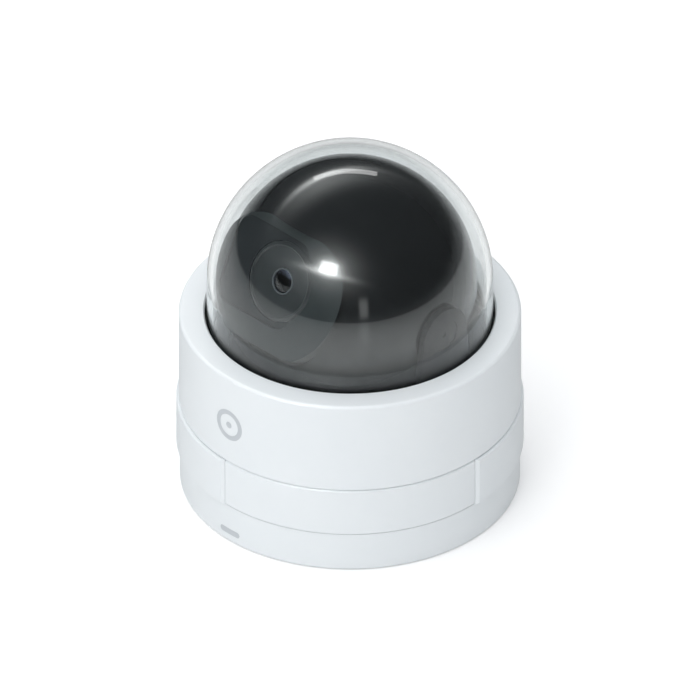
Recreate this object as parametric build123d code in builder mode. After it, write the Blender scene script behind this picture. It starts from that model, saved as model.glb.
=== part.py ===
from build123d import *
from math import atan2, cos, degrees, radians, sin
import os

os.makedirs("parts", exist_ok=True)

# A compact indoor dome camera. Millimetres, +Z up. The mounting face lies at z = 0, the dome's
# axis is the Z axis, and the lens looks towards -Y. The service side is turned towards +X.

# ---------------------------------------------------------------- driving sizes: the outside
body_r = 41.9  # cover ring and side cover
foot_step = 0.3  # lower band of the base, in from the body
band_step = 0.6  # middle band of the base, out from the body
band_bottom_z = 10.4
base_top_z = 23.5
rim_width = 6.8  # flat rim from the body's edge in to the dome
dome_wall = 1.5
dome_straight = 8.6  # upright part of the dome above the rim
edge_round = 0.8
edge_break = 0.35
roof_t = 2.0  # rim of the cover ring
opening_clear = 0.5  # dome to the rim
seam = 0.08  # visible gap between the outer shells

# ---------------------------------------------------------------- driving sizes: the base
plate_recess_h = 3.0
floor_t = 2.0
cover_wall = 2.3
cover_clear = 0.3  # cover ring over the base's lip
lip_t = 1.4
lip_h = 2.5
service_angle = 45.0  # from -Y towards +X
panel_half_angle = 47.0
panel_t = 2.3
ramp_angle = 1.5
shell_wall = 1.6  # base wall behind the side cover
card_window_w = 18.0
card_window_h = 8.0
plate_clear = 0.4  # wall plate in its recess
groove_inset = 2.4  # bottom gasket's groove, in from the foot's edge
groove_w = 2.6
groove_depth = 1.0
soft_clear = 0.1  # gasket in its groove, all round
boss_bore = 9.0
base_join = 0.2  # how far a boss or wall reaches into what carries it

# ---------------------------------------------------------------- driving sizes: the wall plate
plate_r = 34.0
plate_t = 2.4
plate_pcd = 50.0
plate_hole_r = 2.1
plate_screws = 3
entry_r = 14.0
collar_t = 2.6
collar_clear = 0.4
tab_reach = 3.4
tab_t = 1.0
tab_lift = 0.2
tab_half_angle = 11.0
notch_half_angle = 13.0
lock_turn = 30.0

# ---------------------------------------------------------------- driving sizes: the electronics
jack_w = 16.0
jack_h = 13.4
jack_rise = 2.0  # from the floor to the jack's mouth
socket_w = 12.0
socket_d = 8.2
socket_h = 11.0
contact_t = 0.4
contact_pitch = 1.02
contact_count = 8
contact_inset = 2.0  # contacts start behind the jack's mouth
latch_w = 6.4  # slot for the plug's latch
latch_d = 1.2
board_t = 1.6
board_clear = 0.7
boss_r = 3.2
boss_inset = 6.2  # from the board's edge to its screws
board_screw_r = 1.25
fit = 0.05  # radial clearance round screws and pins
chip_w = 14.0
chip_t = 1.2
pad_t = 0.75
memory_w = 10.0
memory_d = 8.0
memory_t = 1.0
transformer_size = (12.0, 11.0)
transformer_h = 8.0
transformer_at = (-24.0, 5.0)
capacitor_r = 3.1
capacitor_h = 9.0
capacitor_at = ((22.0, 6.0), (22.0, 13.5), (15.5, 19.5))
plug_size = (12.0, 4.0)
plug_h = 1.5
plug_y = 20.0
microphone_size = (4.0, 3.0)
microphone_h = 1.1
microphone_at = (-13.0, -25.0)
card_w = 11.0
card_l = 15.0
card_t = 0.9
card_stand = 0.7  # how far the seated card stands out of its socket
card_shell = 3.0  # socket wider than the card
card_inset = 2.0  # socket's mouth in from the board's edge
card_socket_h = 2.0
card_lift = 0.55  # card above the socket's floor
button_r = 1.7
button_angle = 24.0  # from the service direction
button_clear = 0.1
button_drop = 2.8  # below the board
button_sunk = 0.4
button_gap = 0.7  # switch to button
button_lip = 0.7
button_lip_t = 0.6
switch_back = 1.9  # switch behind the shell wall
switch_w = 5.0
switch_h = 5.6
switch_d = 4.0

# ---------------------------------------------------------------- driving sizes: pan and tilt
deck_t = 1.5
deck_wall = 1.6
deck_clear = 0.3
ledge_t = 1.6
ear_r = 1.7
ribbon_slot = (16.0, 7.0)
retainer_t = 1.2
clamp_gap = 2.0  # retainer to dome clamp
ear_bore = 5.0
small_shank = 4.5
ball_gap = 0.45
face_gap = 0.5  # lens face to dome
face_step = 1.9  # lens face stands proud of the ball
yoke_gap = 0.6
yoke_ring_w = 3.4
yoke_ring_h = 4.6
yoke_flange_w = 2.6
yoke_flange_t = 1.8
arm_t = 1.65
arm_r = 7.0
arm_foot = 9.5
pin_sunk = 0.2  # pin's head below the arm's face
pin_end_gap = 0.3
pin_boss_r = 4.5
pin_boss_l = 2.8
side_cut = 1.0  # flat side of the ball
side_gap = 0.35
pin_r = 2.5
pin_head_r = 4.0
pin_head_t = 0.75
pin_depth = 4.4
washer_t = 0.25
clamp_t = 1.8
clamp_screw_r = 0.8
clamp_screws = 4
flange_t = 1.7
flange_reach = 1.3
gasket_t = 1.2

# ---------------------------------------------------------------- driving sizes: the camera head
lens_elevation = 26.0
head_wall = 1.8
side_wall = 2.2
head_split = 6.5  # front and rear shells meet this far behind the tilt axis
face_cut = 4.6  # lens face behind the front of the ball
face_wall = 2.8
face_rise = 4.6
face_taper = 32.0  # the lens face narrows towards the ball
face_half_w = 19.8
face_top = 14.0
face_bottom = 17.0
face_corner = 12.8
seat_t = 1.2
window_left = 17.2
window_right = 6.5
window_half_h = 11.3
window_corner = 4.0
window_clear = 0.12
bezel_r = 9.8
bezel_inner_r = 8.6
bezel_dish = 1.0  # depth of the pupil behind the lens face
lamp_board_gap = 7.1  # lamp board behind the lens face
lamp_board_t = 1.0
lamp_board_size = (6.0, 17.0)
lamp_w = 3.4
lamp_h = 1.2
lamp_pitch = 7.6
lamp_lens_r = 1.4
lamp_lens_h = 0.9
light_sensor_w = 1.6
light_sensor_h = 0.8
pupil_r = 3.3
line_elevation = 63.4
line_azimuth = 30.2
line_share = 0.75  # of the ball's radius
line_start = 74.0
line_sweep = 100.0
line_w = 0.25
line_depth = 0.3
barrel_r = 6.0
nose_r = 4.8
nose_l = 2.5
glass_r = 2.85
holder_w = 27.0
holder_d = 16.0
holder_t = 6.8
neck_r = 8.2
sensor_board_w = 30.0
sensor_board_d = 28.0
sensor_board_t = 1.2
sensor_board_depth = 1.0
post_r = 1.8
post_x = 12.5
post_y = 11.5
head_screw_r = 0.8
post_bore = 6.5
head_shank = 5.0
ribbon_mouth = (16.0, 6.0)
ribbon_mouth_y = -10.0
face_lip = 0.3  # window and glass below the lens face
bezel_t = 1.0
bezel_rise = 0.2
bezel_slope = 0.4
nose_gap = 0.1
barrel_depth = 10.0
glass_body = 1.5
glass_bulge = 0.9
focus_t = 2.2
filter_pitch = 7.0
filter_w = 8.0
filter_t = 1.2
filter_pane = 5.4
filter_clear = 0.25

# ---------------------------------------------------------------- radii that follow
foot_r = body_r - foot_step
band_r = body_r + band_step
lip_r = body_r - cover_wall - cover_clear
lip_inner_r = lip_r - lip_t
panel_back_r = body_r - panel_t - 2 * seam
panel_wall_r = panel_back_r - shell_wall
cavity_r = body_r - cover_wall - 0.2
board_r = lip_inner_r - board_clear
screw_ring_r = board_r - boss_inset
deck_r = lip_inner_r - deck_clear
deck_inner_r = deck_r - deck_wall
dome_r = body_r - rim_width
dome_inner_r = dome_r - dome_wall
opening_r = dome_r + opening_clear
face_reach = dome_inner_r - face_gap
ball_r = face_reach - face_step
yoke_r = dome_inner_r - yoke_gap
yoke_inner_r = yoke_r - yoke_ring_w
yoke_flange_r = yoke_r + yoke_flange_w
ledge_r = yoke_r
side_x = ball_r - side_cut
face_depth = ball_r - face_cut
line_offset = line_share * ball_r
arm_x = side_x + side_gap
clamp_ring_r = cavity_r - 0.2
clamp_circle_r = cavity_r - 1.4
ear_circle_r = deck_r
collar_r = entry_r + collar_t

# ---------------------------------------------------------------- heights that follow
floor_z = plate_recess_h + floor_t
jack_z = floor_z + jack_rise
board_z = jack_z + jack_h
board_top_z = board_z + board_t
deck_z = board_top_z + chip_t + pad_t
deck_top_z = deck_z + deck_t
head_z = deck_top_z + ball_gap + ball_r
rim_z = head_z - dome_straight
lip_top_z = base_top_z + lip_h
cover_roof_z = rim_z - roof_t
flange_top_z = cover_roof_z - gasket_t - 0.1
flange_z = flange_top_z - flange_t
clamp_z = flange_z - 0.1 - clamp_t
retainer_top_z = clamp_z - clamp_gap
retainer_z = retainer_top_z - retainer_t
yoke_z = retainer_z - 0.2 - yoke_flange_t
yoke_top_z = yoke_z + yoke_ring_h
ledge_top_z = yoke_z - 0.4
ear_z = lip_top_z + 0.4
button_z = board_z - button_drop
card_z = board_z - card_socket_h + card_lift

service = Plane(
    origin=(0, 0, 0),
    x_dir=(cos(radians(service_angle)), sin(radians(service_angle)), 0),
    z_dir=(0, 0, 1),
)
reset_axis = Plane(service.offset(button_z).location * Rot(0, 0, button_angle) * Rot(90, 0, 0))
head = Plane(
    origin=(0, 0, head_z),
    x_dir=(1, 0, 0),
    z_dir=(0, -cos(radians(lens_elevation)), sin(radians(lens_elevation))),
)
line_axis = Plane(
    origin=(0, 0, head_z),
    x_dir=(cos(radians(line_azimuth)), sin(radians(line_azimuth)), 0),
    z_dir=(
        sin(radians(line_azimuth)) * cos(radians(line_elevation)),
        -cos(radians(line_azimuth)) * cos(radians(line_elevation)),
        sin(radians(line_elevation)),
    ),
)


def turned(radius, angle):
    """Point on a plan view, with its angle counted from -Y towards +X."""
    return (radius * sin(radians(angle)), -radius * cos(radians(angle)))


def save(piece, node):
    """Label a finished piece and write its STEP file."""
    piece.part.label = node
    export_step(piece.part, f"parts/{node}.step")


def ring(outer_r, inner_r, bottom, top):
    """Plain flat ring about the dome's axis."""
    with BuildPart() as band:
        with BuildSketch(Plane.XY.offset(bottom)):
            Circle(outer_r)
            Circle(inner_r, mode=Mode.SUBTRACT)
        extrude(amount=top - bottom)
    return band


def block(plane, centre, size, depth):
    """Rectangular block that stands on a plane."""
    with BuildPart() as brick:
        with BuildSketch(plane):
            with Locations(centre):
                Rectangle(size[0], size[1])
        extrude(amount=depth)
    return brick


def screws(plane, centres, shank_r, shank_l, head_r, head_t):
    """Pan-head screws whose heads stand on the plane and whose shanks run below it."""
    with BuildPart() as group:
        with BuildSketch(plane):
            with Locations(*centres):
                Circle(head_r)
        extrude(amount=head_t, taper=12)
        with BuildSketch(plane.offset(head_t)):
            with Locations(*centres):
                RegularPolygon(0.4 * head_r, 6)
        extrude(amount=-0.5 * head_t, mode=Mode.SUBTRACT)
        with BuildSketch(plane):
            with Locations(*centres):
                Circle(shank_r)
        extrude(amount=-shank_l)
    return group


boss_points = [turned(screw_ring_r, a) for a in (60, 180, 300)]

# ---------------------------------------------------------------- base housing
with BuildPart() as base_housing:
    with BuildSketch(Plane.XZ):
        with BuildLine():
            Polyline(
                (0, plate_recess_h),
                (plate_r + plate_clear, plate_recess_h),
                (plate_r + plate_clear, 0),
                (foot_r - edge_break, 0),
                (foot_r, edge_break),
                (foot_r, band_bottom_z),
                (band_r - edge_break, band_bottom_z),
                (band_r, band_bottom_z + edge_break),
                (band_r, base_top_z - edge_break),
                (band_r - edge_break, base_top_z),
                (lip_r, base_top_z),
                (lip_r, lip_top_z),
                (lip_inner_r, lip_top_z),
                (lip_inner_r, base_top_z - lip_h),
                (cavity_r, base_top_z - lip_h - (cavity_r - lip_inner_r)),
                (cavity_r, floor_z),
                (0, floor_z),
                close=True,
            )
        make_face()
    revolve(axis=Axis.Z)
    # flat-backed wall that carries the side cover
    with BuildSketch(service.offset(floor_z - base_join)):
        with BuildLine():
            Polyline(
                (0, 0),
                turned(2 * body_r, panel_half_angle + 6),
                (0, -3 * body_r),
                turned(2 * body_r, -panel_half_angle - 6),
                close=True,
            )
        make_face()
        Circle(cavity_r + 0.3, mode=Mode.INTERSECT)
        Circle(panel_wall_r, mode=Mode.SUBTRACT)
    extrude(amount=base_top_z - lip_h - floor_z + 0.3)
    # seat of the side cover, with a short ramp up to the raised band at each end
    with BuildSketch(service.offset(band_bottom_z)):
        with BuildLine():
            Polyline(
                (0, 0),
                turned(body_r, panel_half_angle),
                turned(band_r + 0.1, panel_half_angle + ramp_angle),
                turned(2 * body_r, panel_half_angle + ramp_angle),
                (0, -3 * body_r),
                turned(2 * body_r, -panel_half_angle - ramp_angle),
                turned(band_r + 0.1, -panel_half_angle - ramp_angle),
                turned(body_r, -panel_half_angle),
                close=True,
            )
        make_face()
        Circle(panel_back_r, mode=Mode.SUBTRACT)
    extrude(amount=base_top_z - band_bottom_z, mode=Mode.SUBTRACT)
    # window to the memory card
    with BuildSketch(service.offset(base_top_z - lip_h - 0.4 - card_window_h)):
        with Locations((0, -body_r + 3)):
            Rectangle(card_window_w, card_window_h)
    extrude(amount=card_window_h, mode=Mode.SUBTRACT)
    # guide hole of the reset button
    with BuildSketch(reset_axis):
        Circle(button_r + button_clear)
    extrude(amount=body_r, mode=Mode.SUBTRACT)
    # cable entry with the bayonet's notches
    with BuildSketch(Plane.XY.offset(plate_recess_h)):
        Circle(collar_r + collar_clear)
        with BuildLine():
            Polyline(
                (0, 0),
                turned(2 * collar_r, -notch_half_angle),
                turned(2 * collar_r, notch_half_angle),
                close=True,
            )
        notch = make_face(mode=Mode.PRIVATE)
        with PolarLocations(0, 3):
            add(notch)
        Circle(collar_r + tab_reach + collar_clear, mode=Mode.INTERSECT)
    extrude(amount=floor_t, mode=Mode.SUBTRACT)
    # board bosses
    with BuildSketch(service.offset(floor_z - base_join)):
        with Locations(*boss_points):
            Circle(boss_r)
    extrude(amount=board_z - floor_z + base_join)
    with BuildSketch(service.offset(board_z)):
        with Locations(*boss_points):
            Circle(board_screw_r + fit)
    extrude(amount=-boss_bore, mode=Mode.SUBTRACT)
    # groove of the bottom gasket
    with BuildSketch(Plane.XY):
        Circle(foot_r - groove_inset)
        Circle(foot_r - groove_inset - groove_w, mode=Mode.SUBTRACT)
    extrude(amount=groove_depth, mode=Mode.SUBTRACT)
save(base_housing, "base_housing")

save(
    ring(
        foot_r - groove_inset - soft_clear,
        foot_r - groove_inset - groove_w + soft_clear,
        fit,
        groove_depth - fit,
    ),
    "base_gasket",
)

# ---------------------------------------------------------------- side cover
with BuildPart() as side_cover:
    with BuildSketch(service.offset(band_bottom_z + seam)):
        with BuildLine():
            Polyline(
                (0, 0),
                turned(2 * body_r, panel_half_angle - 0.2),
                (0, -3 * body_r),
                turned(2 * body_r, -panel_half_angle + 0.2),
                close=True,
            )
        make_face()
        Circle(body_r, mode=Mode.INTERSECT)
        Circle(panel_back_r + seam, mode=Mode.SUBTRACT)
    extrude(amount=base_top_z - band_bottom_z - 1.5 * seam)
    chamfer(side_cover.edges().group_by(Axis.Z)[-1].sort_by(SortBy.LENGTH)[-1], edge_break)
    chamfer(side_cover.edges().group_by(Axis.Z)[0].sort_by(SortBy.LENGTH)[-1], edge_break)
save(side_cover, "side_cover")

# ---------------------------------------------------------------- wall plate
with BuildPart() as mount_plate:
    with BuildSketch(Plane.XY):
        Circle(plate_r)
    extrude(amount=plate_t)
    chamfer(mount_plate.edges().group_by(Axis.Z)[-1], edge_break)
    with BuildSketch(Plane.XY):
        Circle(collar_r)
    extrude(amount=floor_z + tab_lift + tab_t)
    with BuildSketch(Plane.XY.offset(floor_z + tab_lift)):
        with BuildLine():
            Polyline(
                (0, 0),
                turned(2 * collar_r, lock_turn - tab_half_angle),
                turned(2 * collar_r, lock_turn + tab_half_angle),
                close=True,
            )
        tab = make_face(mode=Mode.PRIVATE)
        with PolarLocations(0, 3):
            add(tab)
        Circle(collar_r + tab_reach, mode=Mode.INTERSECT)
    extrude(amount=tab_t)
    with BuildSketch(Plane.XY):
        Circle(entry_r)
        with PolarLocations(plate_pcd / 2, plate_screws, start_angle=90):
            Circle(plate_hole_r)
    extrude(amount=floor_z + tab_lift + tab_t, mode=Mode.SUBTRACT)
save(mount_plate, "mount_plate")

# ---------------------------------------------------------------- main board and what it carries
with BuildPart() as main_board:
    with BuildSketch(service.offset(board_z)):
        Circle(board_r)
        with Locations(*boss_points):
            Circle(board_screw_r + fit, mode=Mode.SUBTRACT)
    extrude(amount=board_t)
save(main_board, "main_board")

with BuildPart() as network_jack:
    with BuildSketch(Plane.XY.offset(jack_z)):
        Rectangle(jack_w, jack_w)
    extrude(amount=jack_h)
    chamfer(network_jack.edges().filter_by(Axis.Z), edge_break)
    with BuildSketch(Plane.XY.offset(jack_z)):
        Rectangle(socket_w, socket_d)
        with Locations((0, socket_d / 2)):
            Rectangle(latch_w, 2 * latch_d)
    extrude(amount=socket_h, mode=Mode.SUBTRACT)
save(network_jack, "network_jack")

with BuildPart() as jack_contacts:
    with BuildSketch(Plane.XY.offset(jack_z + contact_inset)):
        with Locations((0, -socket_d / 2 + contact_t / 2 + fit)):
            with GridLocations(contact_pitch, 0, contact_count, 1):
                Rectangle(contact_t, contact_t)
    extrude(amount=socket_h - contact_inset - fit)
save(jack_contacts, "jack_contacts")

save(
    block(service.offset(board_z), transformer_at, transformer_size, -transformer_h),
    "power_transformer",
)

with BuildPart() as capacitors:
    with BuildSketch(service.offset(board_z)):
        with Locations(*capacitor_at):
            Circle(capacitor_r)
    extrude(amount=-capacitor_h)
    chamfer(capacitors.edges().group_by(Axis.Z)[0], 0.4)
save(capacitors, "capacitors")

save(block(Plane.XY.offset(board_top_z), (0, 0), (chip_w, chip_w), chip_t), "processor")
save(block(Plane.XY.offset(board_top_z + chip_t), (0, 0), (chip_w - 2, chip_w - 2), pad_t), "thermal_pad")

with BuildPart() as memory_chips:
    with BuildSketch(Plane.XY.offset(board_top_z)):
        with GridLocations(2 * chip_w + 4, 0, 2, 1):
            Rectangle(memory_w, memory_d)
    extrude(amount=memory_t)
save(memory_chips, "memory_chips")

save(block(Plane.XY.offset(board_top_z), (0, plug_y), plug_size, plug_h), "board_connector")
save(block(service.offset(board_z), microphone_at, microphone_size, -microphone_h), "microphone")

card_mouth = board_r - card_inset
with BuildPart() as card_socket:
    with BuildSketch(service.offset(board_z)):
        with Locations((0, -card_mouth + card_l / 2)):
            Rectangle(card_w + card_shell, card_l)
    extrude(amount=-card_socket_h)
    with BuildSketch(service.offset(card_z - 0.1)):
        with Locations((0, -card_mouth + card_l / 2 - 0.5)):
            Rectangle(card_w + 0.3, card_l)
    extrude(amount=card_t + 0.2, mode=Mode.SUBTRACT)
save(card_socket, "card_socket")

with BuildPart() as memory_card:
    with BuildSketch(service.offset(card_z)):
        with Locations((0, -card_mouth + card_l / 2 - card_stand)):
            Rectangle(card_w, card_l)
    extrude(amount=card_t)
    chamfer(memory_card.edges().filter_by(Axis.Z).sort_by(SortBy.DISTANCE)[0], 1.5)
save(memory_card, "memory_card")

# ---------------------------------------------------------------- reset switch and its button
switch_face = panel_wall_r - switch_back
button_back = switch_face + button_gap
with BuildPart() as reset_switch:
    with BuildSketch(reset_axis.offset(switch_face)):
        Rectangle(switch_w, switch_h)
    extrude(amount=-switch_d)
save(reset_switch, "reset_switch")

with BuildPart() as reset_button:
    with BuildSketch(reset_axis.offset(button_back)):
        Circle(button_r)
    extrude(amount=panel_back_r - button_sunk - button_back)
    fillet(reset_button.edges().filter_by(GeomType.CIRCLE), 0.25)
    with BuildSketch(reset_axis.offset(button_back)):
        Circle(button_r + button_lip)
    extrude(amount=button_lip_t)
save(reset_button, "reset_button")

# ---------------------------------------------------------------- chassis that carries the pan ring
ear_angles = (75, 195, 315)
with BuildPart() as chassis_frame:
    with BuildSketch(Plane.XY.offset(deck_z)):
        Circle(deck_r)
        with Locations((0, plug_y)):
            SlotOverall(*ribbon_slot, mode=Mode.SUBTRACT)
    extrude(amount=deck_t)
    with BuildSketch(Plane.XY.offset(deck_z)):
        Circle(deck_r)
        Circle(deck_inner_r, mode=Mode.SUBTRACT)
    extrude(amount=retainer_z - deck_z)
    with BuildSketch(Plane.XY.offset(ledge_top_z - ledge_t)):
        Circle(deck_inner_r + 0.1)
        Circle(ledge_r, mode=Mode.SUBTRACT)
    extrude(amount=ledge_t)
    with BuildSketch(service.offset(ear_z)):
        with Locations(*[turned(ear_circle_r, a) for a in ear_angles]):
            Circle(ear_r)
        Circle(deck_inner_r, mode=Mode.SUBTRACT)
    extrude(amount=retainer_z - ear_z)
    with BuildSketch(service.offset(board_top_z)):
        with Locations(*boss_points):
            Circle(boss_r)
    extrude(amount=deck_z - board_top_z + 0.1)
    with BuildSketch(service.offset(board_top_z)):
        with Locations(*boss_points):
            Circle(board_screw_r + fit)
    extrude(amount=deck_top_z - board_top_z, mode=Mode.SUBTRACT)
    with BuildSketch(service.offset(retainer_z)):
        with Locations(*[turned(ear_circle_r, a) for a in ear_angles]):
            Circle(clamp_screw_r + fit)
    extrude(amount=-ear_bore, mode=Mode.SUBTRACT)
save(chassis_frame, "chassis_frame")

save(
    screws(service.offset(deck_top_z), boss_points, board_screw_r, deck_top_z - board_z + 6.0, 2.3, 1.4),
    "board_screws",
)
save(ring(yoke_flange_r - 0.2, ledge_r + 0.2, ledge_top_z, ledge_top_z + 0.35), "pan_washer")

with BuildPart() as pan_retainer:
    with BuildSketch(service.offset(retainer_z)):
        Circle(deck_r)
        with Locations(*[turned(ear_circle_r, a) for a in ear_angles]):
            Circle(ear_r)
        Circle(yoke_r + 0.6, mode=Mode.SUBTRACT)
        with Locations(*[turned(ear_circle_r, a) for a in ear_angles]):
            Circle(clamp_screw_r + fit, mode=Mode.SUBTRACT)
    extrude(amount=retainer_t)
save(pan_retainer, "pan_retainer")
save(
    screws(
        service.offset(retainer_top_z),
        [turned(ear_circle_r, a) for a in ear_angles],
        clamp_screw_r,
        retainer_t + small_shank,
        1.5,
        0.9,
    ),
    "retainer_screws",
)

# ---------------------------------------------------------------- cover ring and dome
clamp_points = [turned(clamp_circle_r, 30 + 90 * i) for i in range(clamp_screws)]
with BuildPart() as cover_ring:
    with BuildSketch(Plane.XZ):
        with BuildLine():
            Polyline(
                (cavity_r, base_top_z + seam),
                (body_r - edge_break, base_top_z + seam),
                (body_r, base_top_z + seam + edge_break),
                (body_r, rim_z - edge_round),
            )
            RadiusArc((body_r, rim_z - edge_round), (body_r - edge_round, rim_z), -edge_round)
            Polyline(
                (body_r - edge_round, rim_z),
                (opening_r + edge_break, rim_z),
                (opening_r, rim_z - edge_break),
                (opening_r, cover_roof_z),
                (cavity_r, cover_roof_z),
                (cavity_r, base_top_z + seam),
            )
        make_face()
    revolve(axis=Axis.Z)
    with BuildSketch(service.offset(flange_z)):
        with Locations(*clamp_points):
            Circle(1.5)
    extrude(amount=cover_roof_z - flange_z + 0.1)
    with BuildSketch(service.offset(flange_z)):
        with Locations(*clamp_points):
            Circle(clamp_screw_r + fit)
    extrude(amount=3.0, mode=Mode.SUBTRACT)
save(cover_ring, "cover_ring")

with BuildPart() as dome_bubble:
    with BuildSketch(Plane.XZ):
        with BuildLine():
            Polyline(
                (0, head_z + dome_inner_r),
                (0, head_z + dome_r),
            )
            RadiusArc((0, head_z + dome_r), (dome_r, head_z), dome_r)
            Polyline(
                (dome_r, head_z),
                (dome_r, flange_top_z),
                (dome_r + flange_reach, flange_top_z),
                (dome_r + flange_reach, flange_z),
                (dome_inner_r, flange_z),
                (dome_inner_r, head_z),
            )
            RadiusArc((dome_inner_r, head_z), (0, head_z + dome_inner_r), -dome_inner_r)
        make_face()
    revolve(axis=Axis.Z)
save(dome_bubble, "dome_bubble")

save(
    ring(dome_r + flange_reach, dome_r + 0.2, flange_top_z + fit, flange_top_z + fit + gasket_t),
    "dome_gasket",
)

with BuildPart() as dome_clamp:
    with BuildSketch(service.offset(clamp_z)):
        Circle(clamp_ring_r)
        Circle(dome_inner_r + 0.3, mode=Mode.SUBTRACT)
        with Locations(*clamp_points):
            Circle(clamp_screw_r + fit, mode=Mode.SUBTRACT)
    extrude(amount=clamp_t)
save(dome_clamp, "dome_clamp")

save(
    screws(
        Plane(service.offset(clamp_z).location * Rot(180, 0, 0)),
        [(x, -y) for x, y in clamp_points],
        clamp_screw_r,
        clamp_t + 2.6,
        1.3,
        0.9,
    ),
    "clamp_screws",
)

# ---------------------------------------------------------------- pan yoke and tilt pins
with BuildPart() as pan_yoke:
    for side in (-1, 1):
        with BuildSketch(Plane.YZ.offset(side * arm_x)):
            with Locations((0, head_z)):
                Circle(arm_r)
            Polygon(
                (-arm_r, head_z),
                (-arm_foot, yoke_top_z - 1),
                (arm_foot, yoke_top_z - 1),
                (arm_r, head_z),
                align=None,
            )
        extrude(amount=side * arm_t)
    with BuildSketch(Plane.XY.offset(yoke_z)):
        Circle(yoke_r)
        Circle(yoke_inner_r, mode=Mode.SUBTRACT)
    extrude(amount=yoke_ring_h)
    with BuildSketch(Plane.XZ):
        with BuildLine():
            Polyline((0, head_z + yoke_r), (0, yoke_z), (yoke_r, yoke_z), (yoke_r, head_z))
            RadiusArc((yoke_r, head_z), (0, head_z + yoke_r), -yoke_r)
        make_face()
    revolve(axis=Axis.Z, mode=Mode.INTERSECT)
    with BuildSketch(Plane.XY.offset(yoke_z)):
        Circle(yoke_flange_r)
        Circle(yoke_inner_r, mode=Mode.SUBTRACT)
    extrude(amount=yoke_flange_t)
    with BuildSketch(Plane.YZ.offset(-arm_x - arm_t)):
        with Locations((0, head_z)):
            Circle(pin_r + fit)
    extrude(amount=2 * (arm_x + arm_t), mode=Mode.SUBTRACT)
    for side in (-1, 1):
        with BuildSketch(Plane.YZ.offset(side * (arm_x + arm_t - pin_head_t))):
            with Locations((0, head_z)):
                Circle(pin_head_r + 2 * fit)
        extrude(amount=side * pin_head_t, mode=Mode.SUBTRACT)
save(pan_yoke, "pan_yoke")

for side, node in ((-1, "tilt_pin_left"), (1, "tilt_pin_right")):
    with BuildPart() as tilt_pin:
        with BuildSketch(Plane.YZ.offset(side * (side_x - pin_depth + pin_end_gap))):
            with Locations((0, head_z)):
                Circle(pin_r)
        extrude(amount=side * (pin_depth - pin_end_gap + side_gap + arm_t - pin_sunk))
        with BuildSketch(Plane.YZ.offset(side * (arm_x + arm_t - pin_head_t + fit))):
            with Locations((0, head_z)):
                Circle(pin_head_r)
        extrude(amount=side * (pin_head_t - pin_sunk - fit))
        with BuildSketch(Plane.YZ.offset(side * (arm_x + arm_t - pin_sunk))):
            with Locations((0, head_z)):
                Circle(0.7)
        extrude(amount=-side * 0.5, mode=Mode.SUBTRACT)
    save(tilt_pin, node)

with BuildPart() as tilt_washers:
    for side in (-1, 1):
        with BuildSketch(Plane.YZ.offset(side * (arm_x - fit))):
            with Locations((0, head_z)):
                Circle(2 * pin_r)
                Circle(pin_r + 2 * fit, mode=Mode.SUBTRACT)
        extrude(amount=-side * washer_t)
save(tilt_washers, "tilt_washers")

# ---------------------------------------------------------------- camera head: the ball's shells
with BuildPart() as cavity:
    with Locations((0, 0, head_z)):
        Sphere(ball_r - head_wall)
        Box(2 * (side_x - side_wall), 2 * ball_r, 2 * ball_r, mode=Mode.INTERSECT)

with BuildPart() as ball:
    with Locations((0, 0, head_z)):
        Sphere(ball_r)
        Box(2 * side_x, 2 * ball_r, 2 * ball_r, mode=Mode.INTERSECT)
    add(cavity.part, mode=Mode.SUBTRACT)

with BuildSketch(head.offset(face_depth)) as face_outline:
    with Locations((0, (face_top - face_bottom) / 2)):
        RectangleRounded(2 * face_half_w, face_top + face_bottom, face_corner)

with BuildPart() as face_block:
    add(face_outline.sketch)
    extrude(amount=-face_rise, taper=face_taper)
    with Locations((0, 0, head_z)):
        Sphere(face_reach, mode=Mode.INTERSECT)

# shallow arc engraved over the top of the ball, from the corner of the lens face backwards
line_r = (ball_r**2 - line_offset**2) ** 0.5
line_spoke = Plane(line_axis.location * Rot(0, 0, line_start) * Rot(90, 0, 0))
with BuildPart() as engraved_line:
    with BuildSketch(line_spoke):
        with Locations((line_r, line_offset)):
            Rectangle(2 * line_depth, line_w, rotation=degrees(atan2(line_offset, line_r)))
    revolve(axis=Axis((0, 0, head_z), line_axis.z_dir), revolution_arc=line_sweep)

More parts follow.
